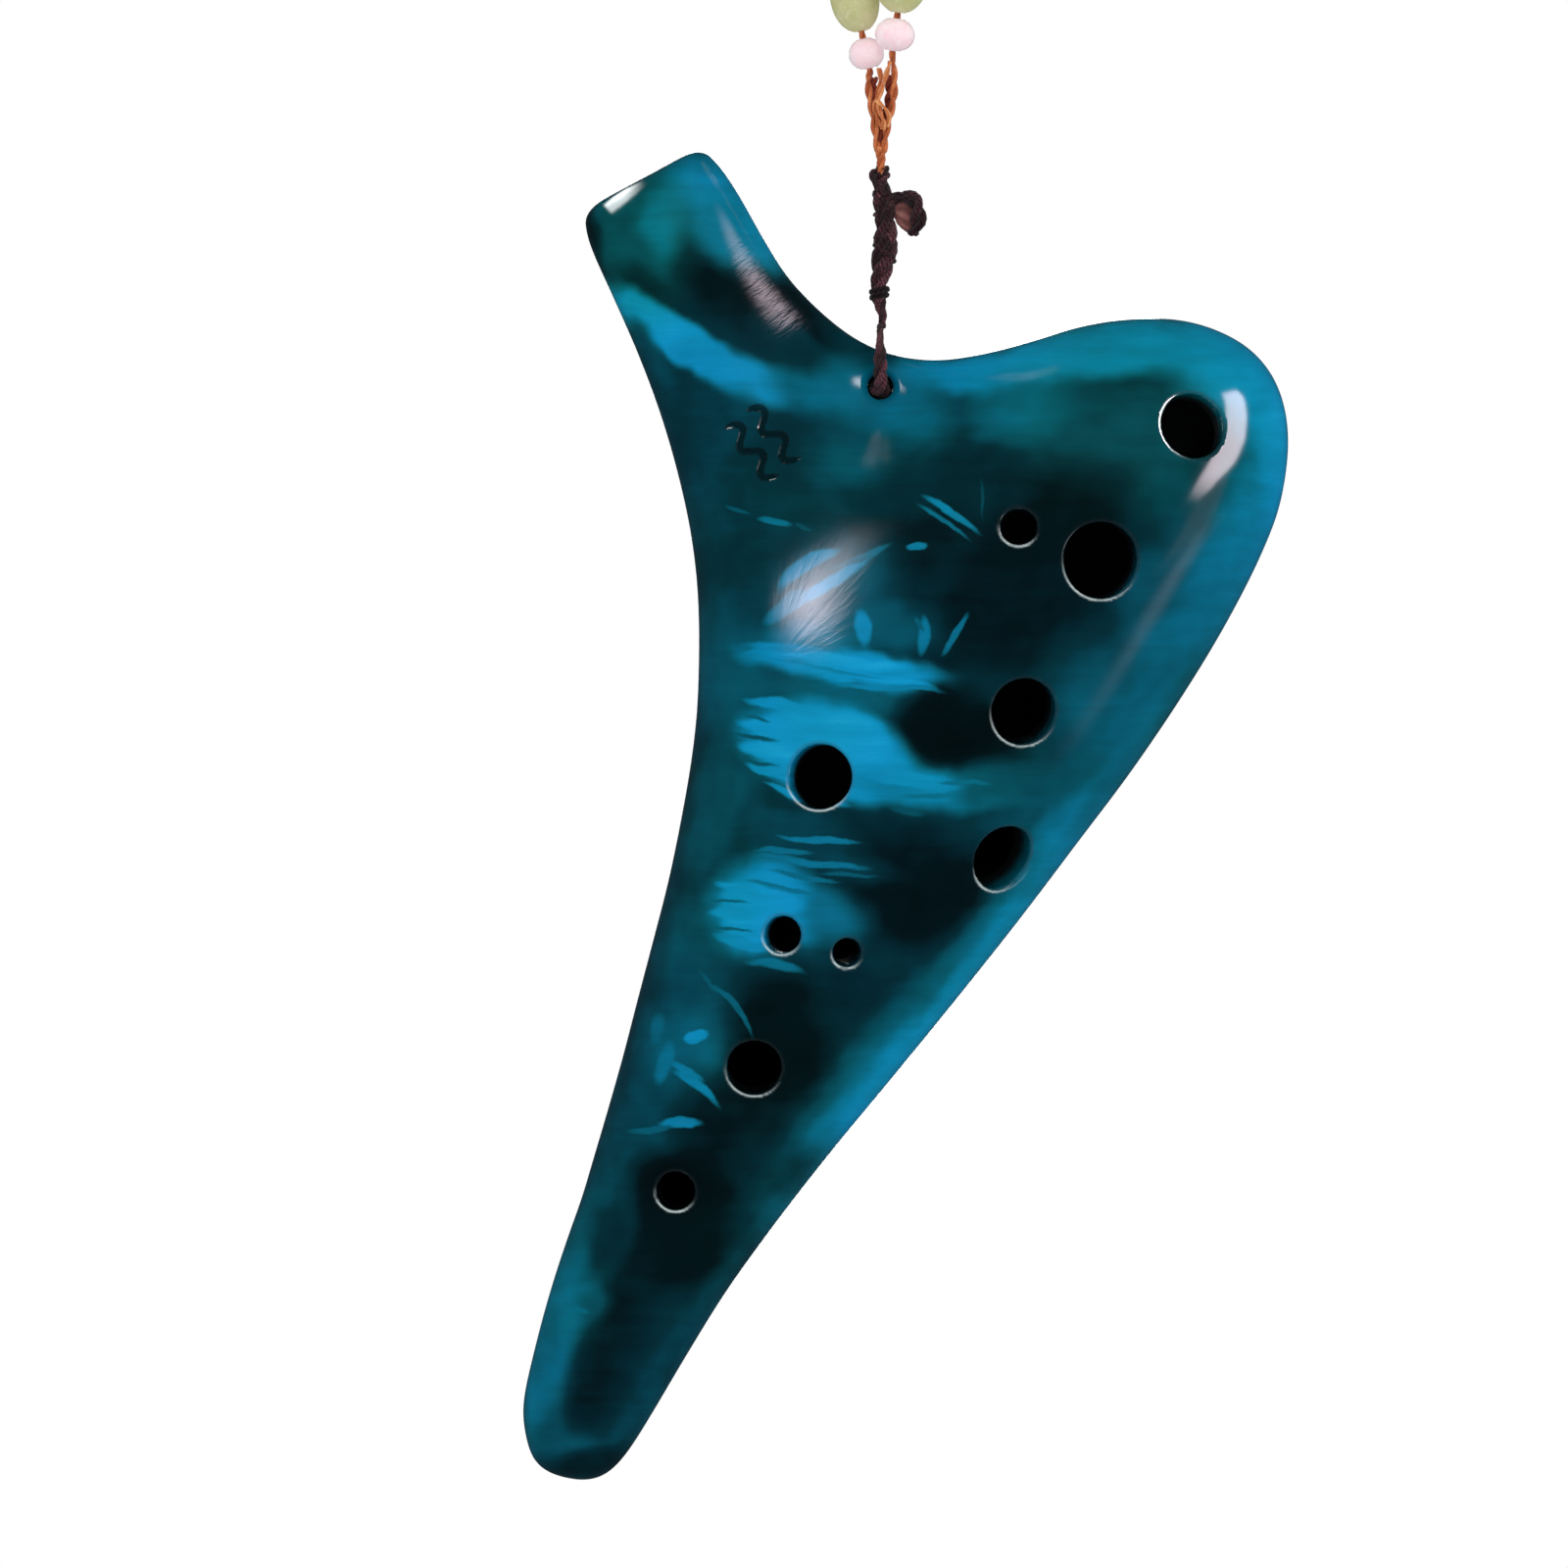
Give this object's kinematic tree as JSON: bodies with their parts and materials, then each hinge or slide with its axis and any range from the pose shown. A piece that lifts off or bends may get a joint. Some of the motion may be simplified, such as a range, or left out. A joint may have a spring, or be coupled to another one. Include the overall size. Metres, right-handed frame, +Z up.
{
  "type": "transverse ocarina",
  "caption": "Hand-glazed ceramic transverse ocarina with finger holes, thumb holes, a back window and a beaded hanging cord tied through its lanyard hole.",
  "frame": {"origin": "bottom centre of the object's box, on the parting plane of the two ceramic halves", "axes": "+Z up along the hanging cord with the tail down, the ten-hole face towards -Y, the thumb holes and window towards +Y, the mouthpiece at -X and the round shoulder at +X"},
  "size_m": [0.1053, 0.0454, 0.2168],
  "materials": {
    "glazed_ceramic": "high-gloss marbled blue-green glaze over dark ground",
    "tie_cord": "waxed dark brown cord, twisted and fuzzy",
    "strap_cord": "satin orange-brown cord",
    "pink_bead": "milky pink glass",
    "green_bead": "polished pale green stone"
  },
  "bodies": {
    "ocarina": {"front_shell": "glazed_ceramic", "back_shell": "glazed_ceramic", "windway_floor": "glazed_ceramic", "labium": "glazed_ceramic"},
    "tie_eye": {"tie_eye": "tie_cord"},
    "tie_cord": {"tie_shank": "tie_cord", "tie_wrap_lower": "tie_cord", "tie_wrap_upper": "tie_cord", "tie_knot": "tie_cord", "tie_bow": "tie_cord", "tie_hitch_left": "tie_cord", "tie_hitch_right": "tie_cord"},
    "strap": {"strap_splice": "strap_cord", "strap_cord": "strap_cord", "strap_tail_front": "strap_cord", "strap_tail_back": "strap_cord"},
    "pink_bead_left": {"pink_bead_left": "pink_bead"},
    "pink_bead_right": {"pink_bead_right": "pink_bead"},
    "green_bead_left": {"green_bead_left": "green_bead"},
    "green_bead_right": {"green_bead_right": "green_bead"}
  },
  "joints": [
    {"name": "lanyard_swing", "type": "hinge", "parent": "ocarina", "child": "tie_eye", "pos_m": [-0.0035, 0, 0.1505], "axis": [0, 1, 0], "range_deg": [-19, 55]},
    {"name": "lanyard_tilt", "type": "hinge", "parent": "tie_eye", "child": "tie_cord", "pos_m": [-0.0035, 0, 0.16095], "axis": [1, 0, 0], "range_deg": [-75, 75]},
    {"name": "strap_sway", "type": "hinge", "parent": "tie_cord", "child": "strap", "pos_m": [-0.0034, 0, 0.1823], "axis": [0, 1, 0], "range_deg": [-45, 45]},
    {"name": "pink_bead_left_spin", "type": "hinge", "parent": "strap", "child": "pink_bead_left", "pos_m": [-0.0054, 0.00185, 0.19649], "axis": [-0.2024, 0.05, 0.978], "continuous": true},
    {"name": "pink_bead_right_spin", "type": "hinge", "parent": "strap", "child": "pink_bead_right", "pos_m": [-0.00148, -0.00185, 0.19899], "axis": [0.1281, -0.0506, 0.9905], "continuous": true},
    {"name": "green_bead_left_spin", "type": "hinge", "parent": "strap", "child": "green_bead_left", "pos_m": [-0.00702, 0.00225, 0.20432], "axis": [-0.2024, 0.05, 0.978], "continuous": true},
    {"name": "green_bead_right_spin", "type": "hinge", "parent": "strap", "child": "green_bead_right", "pos_m": [-0.00047, -0.00225, 0.20682], "axis": [0.1281, -0.0506, 0.9905], "continuous": true}
  ]
}
